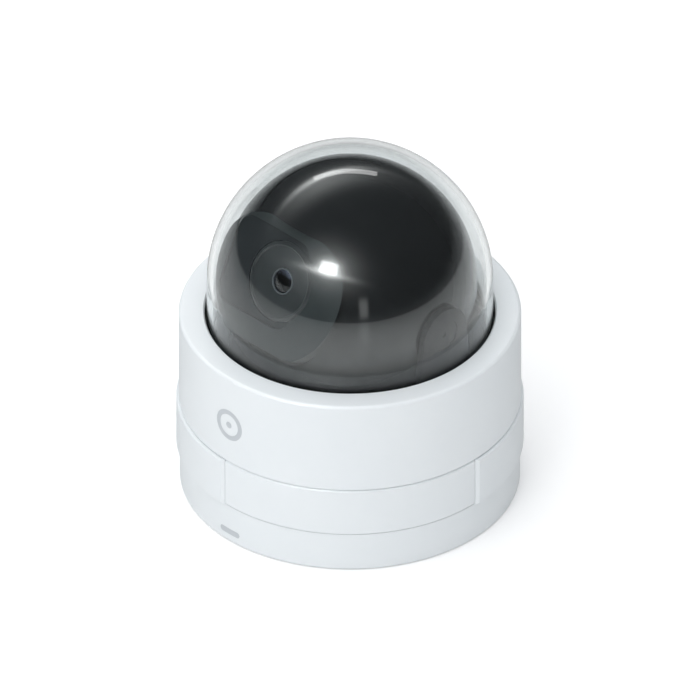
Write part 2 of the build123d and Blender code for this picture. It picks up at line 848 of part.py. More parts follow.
post_points = [(x, y) for x in (-post_x, post_x) for y in (-post_y, post_y)]
seat_depth = face_depth - face_wall + seat_t
window_x = (window_right - window_left) / 2
lamp_x = -(window_left + bezel_r) / 2
with BuildPart() as head_front_shell:
    add(ball.part)
    split(bisect_by=head.offset(-head_split), keep=Keep.TOP)
    # flat lens face let into the ball
    extrude(to_extrude=face_outline.sketch, amount=ball_r, mode=Mode.SUBTRACT)
    add(face_block.part)
    # inside of the shell, up to the back of the lens face
    with BuildSketch(head.offset(face_depth - face_wall)):
        Circle(2 * ball_r)
    behind_face = extrude(amount=-2 * ball_r, mode=Mode.PRIVATE)
    add(cavity.part & behind_face, mode=Mode.SUBTRACT)
    # bosses that the tilt pins turn in
    for side in (-1, 1):
        with BuildSketch(Plane.YZ.offset(side * (side_x - side_wall + 0.1))):
            with Locations((0, head_z)):
                Circle(pin_boss_r)
        extrude(amount=-side * pin_boss_l)
    for side in (-1, 1):
        with BuildSketch(Plane.YZ.offset(side * side_x)):
            with Locations((0, head_z)):
                Circle(pin_r + fit)
        extrude(amount=-side * pin_depth, mode=Mode.SUBTRACT)
    # posts of the sensor board and of the lamp board
    with BuildSketch(head.offset(sensor_board_depth + sensor_board_t)):
        with Locations(*post_points):
            Circle(post_r)
    extrude(amount=face_depth - face_wall - sensor_board_depth - sensor_board_t + 0.1)
    with BuildSketch(head.offset(sensor_board_depth + sensor_board_t)):
        with Locations(*post_points):
            Circle(head_screw_r + fit)
    extrude(amount=post_bore, mode=Mode.SUBTRACT)
    # openings in the lens face
    with BuildSketch(head.offset(face_depth)):
        with Locations((window_x, 0)):
            RectangleRounded(window_left + window_right, 2 * window_half_h, window_corner)
        Circle(bezel_r + window_clear)
    extrude(amount=-(face_depth - seat_depth), mode=Mode.SUBTRACT)
    with BuildSketch(head.offset(face_depth)):
        Circle(bezel_r - seat_t)
        with Locations((lamp_x, 0)):
            Rectangle(window_left - bezel_r - 2 * seat_t, 2 * (window_half_h - 3 * seat_t))
    extrude(amount=-face_wall - 1, mode=Mode.SUBTRACT)
    add(engraved_line.part, mode=Mode.SUBTRACT)
save(head_front_shell, "head_front_shell")

with BuildPart() as head_rear_shell:
    add(ball.part)
    split(bisect_by=head.offset(-head_split - seam), keep=Keep.BOTTOM)
    add(engraved_line.part, mode=Mode.SUBTRACT)
    # slot for the ribbon cable
    with BuildSketch(head.offset(-ball_r)):
        with Locations((0, ribbon_mouth_y)):
            SlotOverall(*ribbon_mouth)
    extrude(amount=ball_r / 2, mode=Mode.SUBTRACT)
save(head_rear_shell, "head_rear_shell")

# ---------------------------------------------------------------- camera head: window, bezel, lens
with BuildPart() as front_window:
    with BuildSketch(head.offset(seat_depth)):
        with Locations((window_x, 0)):
            RectangleRounded(
                window_left + window_right - 2 * window_clear,
                2 * (window_half_h - window_clear),
                window_corner - window_clear,
            )
        Circle(bezel_r + window_clear, mode=Mode.SUBTRACT)
    extrude(amount=face_depth - seat_depth - face_lip)
save(front_window, "front_window")

with BuildPart() as lens_bezel:
    with BuildSketch(Plane.XZ):
        with BuildLine():
            Polyline(
                (pupil_r, face_depth - bezel_dish - bezel_t),
                (bezel_inner_r, seat_depth),
                (bezel_r, seat_depth),
                (bezel_r, face_depth - bezel_slope),
                (bezel_inner_r + bezel_slope, face_depth + bezel_rise),
                (bezel_inner_r, face_depth - bezel_rise),
                (pupil_r, face_depth - bezel_dish),
                close=True,
            )
        make_face()
    revolve(axis=Axis.Z)
lens_bezel.part.locate(head.location)
save(lens_bezel, "lens_bezel")

nose_top = face_depth - bezel_dish - bezel_t - nose_gap
with BuildPart() as lens_barrel:
    with BuildSketch(head.offset(barrel_depth)):
        Circle(barrel_r)
    extrude(amount=nose_top - nose_l - barrel_depth)
    with BuildSketch(head.offset(nose_top - nose_l)):
        Circle(nose_r)
    extrude(amount=nose_l)
    with BuildSketch(head.offset(nose_top)):
        Circle(glass_r + fit)
    extrude(amount=-glass_body - nose_gap, mode=Mode.SUBTRACT)
save(lens_barrel, "lens_barrel")

glass_top = face_depth - face_lip
glass_back = nose_top - glass_body
bulge_r = (glass_r**2 + glass_bulge**2) / (2 * glass_bulge)
with BuildPart() as lens_glass:
    with BuildSketch(head.offset(glass_back)):
        Circle(glass_r)
    extrude(amount=glass_top - glass_back)
    with Locations(head.offset(glass_top - bulge_r).location):
        Sphere(bulge_r, mode=Mode.INTERSECT)
save(lens_glass, "lens_glass")

holder_depth = sensor_board_depth + sensor_board_t
neck_depth = holder_depth + holder_t
slot_depth = holder_depth + 2.6
with BuildPart() as lens_holder:
    with BuildSketch(head.offset(holder_depth)):
        RectangleRounded(holder_w, holder_d, 1.0)
    extrude(amount=holder_t)
    with BuildSketch(head.offset(neck_depth)):
        Circle(neck_r)
    extrude(amount=5.5)
    with BuildSketch(head.offset(holder_depth)):
        Rectangle(10.5, 10.5)
    extrude(amount=slot_depth - holder_depth + 0.1, mode=Mode.SUBTRACT)
    with BuildSketch(head.offset(slot_depth)):
        Rectangle(2 * filter_w + filter_pitch + 1.2, filter_w + 2 * filter_clear)
    extrude(amount=filter_t + 2 * filter_clear, mode=Mode.SUBTRACT)
    with BuildSketch(head.offset(slot_depth)):
        Circle(barrel_r + fit)
    extrude(amount=20, mode=Mode.SUBTRACT)
save(lens_holder, "lens_holder")

with BuildPart() as focus_nut:
    with BuildSketch(head.offset(neck_depth + 5.6)):
        RegularPolygon(neck_r, 12)
        Circle(barrel_r + fit, mode=Mode.SUBTRACT)
    extrude(amount=focus_t)
save(focus_nut, "focus_nut")

save(block(head.offset(holder_depth + 0.02), (0, 0), (8.5, 7.5), 1.1), "image_sensor")

with BuildPart() as sensor_board:
    with BuildSketch(head.offset(sensor_board_depth)):
        Rectangle(sensor_board_w, sensor_board_d)
        with Locations(*post_points):
            Circle(head_screw_r + fit, mode=Mode.SUBTRACT)
    extrude(amount=sensor_board_t)
save(sensor_board, "sensor_board")
save(block(head.offset(sensor_board_depth), (0, -7), (10, 3), -1.6), "sensor_connector")

back = Plane(head.offset(sensor_board_depth).location * Rot(180, 0, 0))
save(screws(back, post_points, head_screw_r, sensor_board_t + head_shank, 1.5, 0.9), "head_screws")

# ---------------------------------------------------------------- camera head: switched filters
filter_depth = slot_depth + filter_clear
filter_x = filter_pitch / 2
with BuildPart() as filter_slide:
    with BuildSketch(head.offset(filter_depth)):
        with Locations((filter_x, 0)):
            Rectangle(filter_pitch + filter_w, filter_w)
        with Locations((0, 0), (filter_pitch, 0)):
            Rectangle(filter_pane + 2 * fit, filter_pane + 2 * fit, mode=Mode.SUBTRACT)
    extrude(amount=filter_t)
save(filter_slide, "filter_slide")
for index, node in enumerate(("infrared_filter", "clear_filter")):
    save(
        block(head.offset(filter_depth + 0.3), (index * filter_pitch, 0), (filter_pane, filter_pane), 0.6),
        node,
    )
save(block(head.offset(holder_depth), (0, -holder_d / 2 - 3.2), (10, 5.8), 5.5), "filter_actuator")

# ---------------------------------------------------------------- camera head: night lamps
lamp_board_depth = face_depth - lamp_board_gap
lamp_base = lamp_board_depth + lamp_board_t
lamp_points = [(lamp_x, side * lamp_pitch / 2) for side in (-1, 1)]
save(block(head.offset(lamp_board_depth), (lamp_x, 0), lamp_board_size, lamp_board_t), "lamp_board")

with BuildPart() as night_lamps:
    with BuildSketch(head.offset(lamp_base)):
        with Locations(*lamp_points):
            Rectangle(lamp_w, lamp_w)
    extrude(amount=lamp_h)
    with BuildSketch(head.offset(lamp_base + lamp_h)):
        with Locations(*lamp_points):
            Circle(lamp_lens_r)
    extrude(amount=lamp_lens_h, taper=25)
save(night_lamps, "night_lamps")
save(
    block(head.offset(lamp_base), (lamp_x, 0), (light_sensor_w, light_sensor_w), light_sensor_h),
    "light_sensor",
)
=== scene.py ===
"""Looks of a compact dome camera: finishes, printed marks, small trim, light and view."""

import logging
import math
from dataclasses import dataclass, field, replace
from enum import Enum

import bpy
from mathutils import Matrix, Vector


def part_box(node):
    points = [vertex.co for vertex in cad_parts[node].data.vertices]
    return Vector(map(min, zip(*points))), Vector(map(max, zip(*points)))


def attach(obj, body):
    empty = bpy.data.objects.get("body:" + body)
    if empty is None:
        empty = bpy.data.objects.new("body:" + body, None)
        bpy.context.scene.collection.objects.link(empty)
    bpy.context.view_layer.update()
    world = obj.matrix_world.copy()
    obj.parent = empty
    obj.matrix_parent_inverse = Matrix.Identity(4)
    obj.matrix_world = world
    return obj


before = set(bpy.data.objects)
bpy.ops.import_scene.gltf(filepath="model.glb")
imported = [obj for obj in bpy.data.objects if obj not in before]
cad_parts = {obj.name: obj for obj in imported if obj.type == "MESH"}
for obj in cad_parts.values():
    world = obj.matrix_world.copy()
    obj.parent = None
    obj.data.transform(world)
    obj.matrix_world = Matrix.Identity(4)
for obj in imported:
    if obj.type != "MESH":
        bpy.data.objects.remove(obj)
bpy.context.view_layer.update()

LOG = logging.getLogger("dome_camera")
MM = 0.001
TURN = 2.0 * math.pi
TILT_AXIS_Z = 57.1 * MM
LENS_ELEVATION = math.radians(26.0)
LENS_AHEAD = Vector((0.0, -math.cos(LENS_ELEVATION), math.sin(LENS_ELEVATION)))
LENS_UP = Vector((0.0, math.sin(LENS_ELEVATION), math.cos(LENS_ELEVATION)))
FACES_THE_LENS = 0.97  # cosine beyond which a surface belongs to the flat lens face
VIEW_AZIMUTH = math.radians(45.0)
VIEW_ELEVATION = math.radians(34.88)
VIEW_WIDTH = 0.1712
VIEW_TARGET_Z = 36.49 * MM
VIEW_DISTANCE = 2.0
VIEW_FAR = 100.0


def linear(hex_colour: str) -> tuple[float, float, float, float]:
    """Turn an sRGB hex colour into linear light.

    Args:
        hex_colour: Six hex digits, such as "e8ebee".

    Returns:
        Linear red, green, blue and an alpha of 1.
    """
    channels = [int(hex_colour[i : i + 2], 16) / 255.0 for i in (0, 2, 4)]
    light = [c / 12.92 if c <= 0.04045 else ((c + 0.055) / 1.055) ** 2.4 for c in channels]
    return (light[0], light[1], light[2], 1.0)


def add_node(
    tree: bpy.types.NodeTree, kind: str, settings: dict | None = None, links: dict | None = None
) -> bpy.types.Node:
    """Add one shader node.

    Args:
        tree: The material's node tree.
        kind: The node's type name.
        settings: Attribute or input names to their values.
        links: Input names to the output sockets that feed them.

    Returns:
        The new node.
    """
    node = tree.nodes.new(kind)
    for name, value in (settings or {}).items():
        if isinstance(name, str) and hasattr(node, name):
            setattr(node, name, value)
        else:
            node.inputs[name].default_value = value
    for name, socket in (links or {}).items():
        tree.links.new(socket, node.inputs[name])
    return node


def blank_material(name: str) -> tuple[bpy.types.Material, bpy.types.NodeTree]:
    """Make an empty node material.

    Args:
        name: The material's name.

    Returns:
        The material and its node tree.
    """
    material = bpy.data.materials.new(name)
    material.use_nodes = True
    material.node_tree.nodes.clear()
    return material, material.node_tree


def new_piece(
    name: str, points: list[tuple[float, float, float]], faces: list[tuple[int, ...]]
) -> bpy.types.Object:
    """Make a mesh object and put it in the scene.

    Args:
        name: The object's name.
        points: Its corners in metres.
        faces: The corner numbers of each face.

    Returns:
        The new object.
    """
    mesh = bpy.data.meshes.new(name)
    mesh.from_pydata(points, [], faces)
    mesh.update()
    piece = bpy.data.objects.new(name, mesh)
    bpy.context.scene.collection.objects.link(piece)
    return piece


class Grain(Enum):
    """How the surface texture lies."""

    EVEN = (1.0, 1.0, 1.0)
    BRUSHED_X = (0.06, 1.0, 1.0)
    TURNED_Z = (0.15, 0.15, 3.0)


@dataclass(frozen=True)
class SolidFinish:
    """An opaque finish with a fine texture, colour drift and uneven gloss."""

    name: str
    colour: str
    drift: str
    roughness: tuple[float, float]
    metallic: float = 0.0
    ior: float = 1.5
    grain_mm: float = 0.35
    bump_mm: float = 0.01
    patch_mm: float = 18.0
    coat: float = 0.0
    coat_roughness: float = 0.1
    grain: Grain = Grain.EVEN
    flat_colour: str = ""
    flat_side: tuple[float, float, float] = (0.0, 0.0, 1.0)
    uneven: tuple[float, float] = (0.6, 1.4)
    relief: float = 0.5

    def on_flat(
        self, tree: bpy.types.NodeTree, place: bpy.types.Node, tint: bpy.types.Node
    ) -> bpy.types.Node:
        """Give a piece's flat front its own colour.

        Args:
            tree: The material's node tree.
            place: The texture coordinate node.
            tint: The mix node with the body's colour.

        Returns:
            The mix node to use as the colour.
        """
        if not self.flat_colour:
            return tint
        facing = add_node(
            tree,
            "ShaderNodeVectorMath",
            {"operation": "DOT_PRODUCT", 1: self.flat_side},
            {0: place.outputs["Normal"]},
        )
        ahead = add_node(
            tree,
            "ShaderNodeMath",
            {"operation": "GREATER_THAN", 1: FACES_THE_LENS},
            {0: facing.outputs["Value"]},
        )
        return add_node(
            tree,
            "ShaderNodeMix",
            {"data_type": "RGBA", 7: linear(self.flat_colour)},
            {0: ahead.outputs[0], 6: tint.outputs[2]},
        )

    def build(self) -> bpy.types.Material:
        """Make the node material of this finish.

        Returns:
            The new material.
        """
        material, tree = blank_material(self.name)
        place = add_node(tree, "ShaderNodeTexCoord")
        lie = add_node(
            tree,
            "ShaderNodeMapping",
            {"Scale": self.grain.value},
            {"Vector": place.outputs["Object"]},
        )
        patches = add_node(
            tree,
            "ShaderNodeTexNoise",
            {"Scale": 1.0 / (self.patch_mm * MM), "Detail": 4.0, "Roughness": 0.6},
            {"Vector": place.outputs["Object"]},
        )
        fine = add_node(
            tree,
            "ShaderNodeTexNoise",
            {"Scale": 1.0 / (self.grain_mm * MM), "Detail": 3.0, "Roughness": 0.55},
            {"Vector": lie.outputs["Vector"]},
        )
        tint = add_node(
            tree,
            "ShaderNodeMix",
            {"data_type": "RGBA", 6: linear(self.colour), 7: linear(self.drift)},
            {0: patches.outputs["Fac"]},
        )
        tint = self.on_flat(tree, place, tint)
        uneven = add_node(
            tree,
            "ShaderNodeMath",
            {"operation": "ADD"},
            {0: patches.outputs["Fac"], 1: fine.outputs["Fac"]},
        )
        gloss = add_node(
            tree,
            "ShaderNodeMapRange",
            {
                "From Min": self.uneven[0],
                "From Max": self.uneven[1],
                "To Min": self.roughness[0],
                "To Max": self.roughness[1],
            },
            {"Value": uneven.outputs[0]},
        )
        relief = add_node(
            tree,
            "ShaderNodeBump",
            {"Strength": self.relief, "Distance": self.bump_mm * MM},
            {"Height": fine.outputs["Fac"]},
        )
        settings = {
            "Metallic": self.metallic,
            "Coat Weight": self.coat,
            "Coat Roughness": self.coat_roughness,
        }
        if self.metallic < 0.5:
            settings["IOR"] = self.ior
        shader = add_node(
            tree,
            "ShaderNodeBsdfPrincipled",
            settings,
            {
                "Base Color": tint.outputs[2],
                "Roughness": gloss.outputs["Result"],
                "Normal": relief.outputs["Normal"],
            },
        )
        add_node(tree, "ShaderNodeOutputMaterial", {}, {"Surface": shader.outputs[0]})
        return material


@dataclass(frozen=True)
class BoardFinish:
    """Solder mask over copper on glass-epoxy, with straight tracks and tinned pads."""

    name: str = "solder_mask_on_glass_epoxy"
    mask: str = "0f4a2c"
    track: str = "1d6b40"
    pad: str = "c9c7c0"
    track_mm: float = 1.3
    pad_gap_mm: float = 2.4
    pad_share: float = 0.13
    relief_mm: float = 0.03
    roughness: tuple[float, float] = (0.28, 0.45)

    def build(self) -> bpy.types.Material:
        """Make the node material of this finish.

        Returns:
            The new material.
        """
        material, tree = blank_material(self.name)
        place = add_node(tree, "ShaderNodeTexCoord")
        tracks = add_node(
            tree,
            "ShaderNodeTexBrick",
            {
                "Scale": 1.0 / (self.track_mm * MM),
                "Mortar Size": 0.12,
                "Brick Width": 6.0,
                "Row Height": 1.0,
                "Color1": linear(self.mask),
                "Color2": linear(self.mask),
                "Mortar": linear(self.track),
            },
            {"Vector": place.outputs["Object"]},
        )
        dots = add_node(
            tree,
            "ShaderNodeTexVoronoi",
            {"Scale": 1.0 / (self.pad_gap_mm * MM), "Randomness": 0.7},
            {"Vector": place.outputs["Object"]},
        )
        is_pad = add_node(
            tree,
            "ShaderNodeMath",
            {"operation": "LESS_THAN", 1: self.pad_share},
            {0: dots.outputs["Distance"]},
        )
        colour = add_node(
            tree,
            "ShaderNodeMix",
            {"data_type": "RGBA", 7: linear(self.pad)},
            {0: is_pad.outputs[0], 6: tracks.outputs["Color"]},
        )
        relief = add_node(
            tree,
            "ShaderNodeBump",
            {"Strength": 0.6, "Distance": self.relief_mm * MM},
            {"Height": tracks.outputs["Fac"]},
        )
        gloss = add_node(
            tree,
            "ShaderNodeMapRange",
            {"To Min": self.roughness[0], "To Max": self.roughness[1]},
            {"Value": dots.outputs["Distance"]},
        )
        shader = add_node(
            tree,
            "ShaderNodeBsdfPrincipled",
            {"IOR": 1.52},
            {
                "Base Color": colour.outputs[2],
                "Metallic": is_pad.outputs[0],
                "Roughness": gloss.outputs["Result"],
                "Normal": relief.outputs["Normal"],
            },
        )
        add_node(tree, "ShaderNodeOutputMaterial", {}, {"Surface": shader.outputs[0]})
        return material


@dataclass(frozen=True)
class ClearFinish:
    """A clear moulding or glass that lamps shine through."""

    name: str
    tint: str
    ior: float
    shade: str = "ffffff"
    smear: tuple[float, float] = (0.0, 0.02)
    smear_mm: float = 22.0

    def build(self) -> bpy.types.Material:
        """Make the node material of this finish.

        Returns:
            The new material.
        """
        material, tree = blank_material(self.name)
        place = add_node(tree, "ShaderNodeTexCoord")
        handling = add_node(
            tree,
            "ShaderNodeTexNoise",
            {"Scale": 1.0 / (self.smear_mm * MM), "Detail": 5.0, "Roughness": 0.7},
            {"Vector": place.outputs["Object"]},
        )
        haze = add_node(
            tree,
            "ShaderNodeMapRange",
            {"From Min": 0.45, "From Max": 0.8, "To Min": self.smear[0], "To Max": self.smear[1]},
            {"Value": handling.outputs["Fac"]},
        )
        body = add_node(
            tree,
            "ShaderNodeBsdfPrincipled",
            {"Base Color": linear(self.tint), "Transmission Weight": 1.0, "IOR": self.ior},
            {"Roughness": haze.outputs["Result"]},
        )
        passing = add_node(tree, "ShaderNodeBsdfTransparent", {"Color": linear(self.shade)})
        ray = add_node(tree, "ShaderNodeLightPath")
        both = add_node(
            tree,
            "ShaderNodeMixShader",
            {},
            {0: ray.outputs["Is Shadow Ray"], 1: body.outputs[0], 2: passing.outputs[0]},
        )
        add_node(tree, "ShaderNodeOutputMaterial", {}, {"Surface": both.outputs[0]})
        return material


# Polycarbonate blend, injection moulded against a fine spark-eroded tool: clean cool white, silky
# highlights without a mirror image. The 0.4 mm grain is drawn a little coarser than the real one.
WHITE_POLYCARBONATE = SolidFinish(
    "white_polycarbonate", "e7ebed", "e1e6e9", (0.34, 0.46), ior=1.58, grain_mm=0.4, bump_mm=0.006
)
# The same blend on the hidden wall plate, from a coarser tool.
WHITE_PLATE = SolidFinish(
    "white_polycarbonate_coarse",
    "dfe3e5",
    "d8dcdf",
    (0.45, 0.6),
    ior=1.58,
    grain_mm=0.6,
    bump_mm=0.02,
)
# ABS and polycarbonate blend from a polished tool: piano black with a clear image of the lights.
POLISHED_BLACK = SolidFinish(
    "polished_black_abs", "292a2c", "2f3032", (0.12, 0.22), ior=1.53, grain_mm=0.9, bump_mm=0.002
)
# Glass-filled nylon: dull charcoal black with a dry, slightly fibrous surface.
BLACK_NYLON = SolidFinish(
    "glass_filled_nylon", "17181a", "222426", (0.4, 0.62), ior=1.53, grain_mm=0.5, bump_mm=0.03
)
# Lens bezel: the same black blend with a lightly satin skin that greys in side light.
SATIN_BLACK = SolidFinish(
    "satin_black_abs", "484c4e", "4e5254", (0.26, 0.36), ior=1.53, grain_mm=0.5, bump_mm=0.003
)
# Silicone rubber, pressed: soft black, no highlights.
SILICONE = SolidFinish("black_silicone", "121314", "1b1c1d", (0.6, 0.8), ior=1.43, bump_mm=0.02)
# Closed-cell foam, die cut: charcoal with open pores at its cut edge.
FOAM = SolidFinish("closed_cell_foam", "2a2b2c", "3a3b3c", (0.85, 0.98), grain_mm=0.7, bump_mm=0.12)
# Epoxy moulding compound on chips: warm black with fine speckle.
CHIP_EPOXY = SolidFinish(
    "moulded_epoxy", "1a1a1a", "242322", (0.5, 0.65), grain_mm=0.3, bump_mm=0.02
)
# Filled silicone pad: blue-grey putty.
THERMAL_PAD = SolidFinish("filled_silicone_pad", "7385a0", "66778f", (0.75, 0.9), bump_mm=0.05)
# Zinc-plated steel, barrel plated: bright grey with small dull patches.
ZINC_STEEL = SolidFinish(
    "zinc_plated_steel", "b9bcc0", "a3a6ab", (0.22, 0.42), metallic=1.0, patch_mm=2.5, bump_mm=0.006
)
# Tinned steel sheet, rolled: long straight grain along the sheet.
TINNED_STEEL = SolidFinish(
    "tinned_steel_sheet",
    "c6c8ca",
    "b5b8bb",
    (0.2, 0.36),
    metallic=1.0,
    grain=Grain.BRUSHED_X,
    bump_mm=0.004,
)
# Gold flash on phosphor bronze.
GOLD_CONTACT = SolidFinish(
    "gold_flashed_bronze",
    "e0b45a",
    "d0a048",
    (0.15, 0.25),
    metallic=1.0,
    patch_mm=1.0,
    bump_mm=0.002,
)
# Black anodised aluminium, turned: fine rings round the barrel.
BLACK_ANODISED = SolidFinish(
    "black_anodised_aluminium", "26272a", "1c1d1f", (0.3, 0.42), metallic=1.0, grain=Grain.TURNED_Z
)
# Shrink sleeve on an aluminium can.
CAPACITOR_SLEEVE = SolidFinish("capacitor_sleeve", "2b3350", "353e5e", (0.3, 0.45), grain_mm=0.6)
# Acetal, natural: slightly translucent ivory, slippery.
ACETAL = SolidFinish("natural_acetal", "e6e2d6", "dcd7c9", (0.3, 0.4), ior=1.48)
# Nylon connector housings, natural.
NATURAL_NYLON = SolidFinish("natural_nylon", "e2dfd6", "d6d2c6", (0.4, 0.5), ior=1.53)
# Epoxy lamp bodies: deep violet black, clear skin over it.
LAMP_EPOXY = SolidFinish("lamp_epoxy", "2a2330", "1d1824", (0.08, 0.15), ior=1.5, coat=1.0)
# Cover glass over the image chip: dark blue green mirror.
SENSOR_GLASS = SolidFinish("sensor_cover_glass", "16232e", "1d2f3c", (0.03, 0.06), coat=1.0)
# Printed mark: pale grey pad-print ink, a little duller than the shell.
GREY_INK = SolidFinish("grey_pad_print", "c3c8cc", "bcc1c6", (0.5, 0.65), grain_mm=0.25)
# Painted highlight: a fine pale ring round the front glass that stands in for the light its
# polished edge scatters.
RIM_PAINTED_HIGHLIGHT = SolidFinish(
    "glass_edge_painted_highlight", "8d9296", "7c8185", (0.25, 0.35), ior=1.52, grain_mm=0.2, bump_mm=0.002
)
# Painted shade: matt black laid along a fine groove, where shade falls.
GROOVE_PAINTED_SHADE = SolidFinish("groove_painted_shade", "040404", "070707", (0.7, 0.85), grain_mm=0.2)
# Front shell: piano black round the ball, with the satin dark grey lens face let into it.
TWO_TONE_SHELL = SolidFinish(
    "polished_black_abs_with_satin_face",
    "292a2c",
    "2f3032",
    (0.14, 0.24),
    ior=1.53,
    grain_mm=0.9,
    bump_mm=0.002,
    flat_colour="4a4f51",
)
# Hard-coated optical polycarbonate, vacuum formed and clear: sharp reflections, a bright rim.
CLEAR_DOME = ClearFinish("clear_polycarbonate", "fbfefe", 1.58, "f2f6f6", (0.0, 0.006))
# Smoked acrylic that only infrared passes: charcoal grey, mirror smooth.
SMOKED_ACRYLIC = SolidFinish("smoked_acrylic", "3a3d40", "3f4245", (0.04, 0.1), ior=1.49, coat=1.0)
# Coated lens glass: a faint blue-violet cast over a dark pupil.
COATED_GLASS = ClearFinish("coated_lens_glass", "c9d4ee", 1.62, "b0bcd8", (0.0, 0.004))
# Thin coated filter panes.
FILTER_GLASS = ClearFinish("coated_filter_glass", "9fd6dc", 1.52, "9fd6dc", (0.0, 0.01))

Finish = SolidFinish | BoardFinish | ClearFinish

NODE_FINISHES: dict[str, Finish] = {
    "base_housing": WHITE_POLYCARBONATE,
    "cover_ring": WHITE_POLYCARBONATE,
    "side_cover": WHITE_POLYCARBONATE,
    "mount_plate": WHITE_PLATE,
    "base_gasket": FOAM,
    "main_board": BoardFinish(),
    "sensor_board": BoardFinish(),
    "lamp_board": BoardFinish(),
    "network_jack": TINNED_STEEL,
    "card_socket": TINNED_STEEL,
    "jack_contacts": GOLD_CONTACT,
    "power_transformer": CHIP_EPOXY,
    "capacitors": CAPACITOR_SLEEVE,
    "processor": CHIP_EPOXY,
    "memory_chips": CHIP_EPOXY,
    "memory_card": CHIP_EPOXY,
    "reset_switch": CHIP_EPOXY,
    "filter_actuator": CHIP_EPOXY,
    "thermal_pad": THERMAL_PAD,
    "board_connector": NATURAL_NYLON,
    "sensor_connector": NATURAL_NYLON,
    "reset_button": NATURAL_NYLON,
    "microphone": ZINC_STEEL,
    "chassis_frame": BLACK_NYLON,
    "board_screws": ZINC_STEEL,
    "retainer_screws": ZINC_STEEL,
    "clamp_screws": ZINC_STEEL,
    "head_screws": ZINC_STEEL,
    "pan_washer": ACETAL,
    "tilt_washers": ACETAL,
    "pan_retainer": BLACK_NYLON,
    "dome_bubble": CLEAR_DOME,
    "dome_gasket": SILICONE,
    "dome_clamp": BLACK_NYLON,
    "pan_yoke": BLACK_NYLON,
    "tilt_pin_left": BLACK_NYLON,
    "tilt_pin_right": BLACK_NYLON,
    "head_front_shell": TWO_TONE_SHELL,
    "head_rear_shell": POLISHED_BLACK,
    "front_window": SMOKED_ACRYLIC,
    "lens_bezel": SATIN_BLACK,
    "lens_barrel": BLACK_ANODISED,
    "lens_glass": COATED_GLASS,
    "lens_holder": BLACK_NYLON,
    "focus_nut": BLACK_ANODISED,
    "image_sensor": SENSOR_GLASS,
    "filter_slide": BLACK_NYLON,
    "infrared_filter": FILTER_GLASS,
    "clear_filter": FILTER_GLASS,
    "night_lamps": LAMP_EPOXY,
    "light_sensor": LAMP_EPOXY,
}


def dress(piece: bpy.types.Object, material: bpy.types.Material) -> None:
    """Give every slot of a piece one material.

    Args:
        piece: The object to dress.
        material: The finish's material.
    """
    if not piece.material_slots:
        piece.data.materials.append(material)
    for slot in piece.material_slots:
        slot.link = "OBJECT"
        slot.material = material


@dataclass
class FramePieces:
    """The pieces that come from the frame as they are and only get their finishes."""

    finishes: dict[str, Finish]
    made: dict[str, bpy.types.Material] = field(default_factory=dict)

    def material_of(self, finish: Finish) -> bpy.types.Material:
        """The material of a finish, made once.

        Args:
            finish: The finish.

        Returns:
            Its material.
        """
        if finish.name not in self.made:
            self.made[finish.name] = finish.build()
        return self.made[finish.name]

    def face_side(self, piece: bpy.types.Object) -> tuple[float, float, float]:
        """The direction of the lens face, in a piece's own coordinates.

        Args:
            piece: The shell that carries the lens face.

        Returns:
            The face's unit normal.
        """
        return tuple(piece.matrix_world.to_3x3().transposed() @ LENS_AHEAD)

    def build(self) -> None:
        """Dress every node of the frame."""
        for name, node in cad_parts.items():
            finish = self.finishes[name]
            if name == "head_front_shell":
                finish = replace(finish, flat_side=self.face_side(node))
            dress(node, self.material_of(finish))
            LOG.info("%s: %s", name, finish.name)


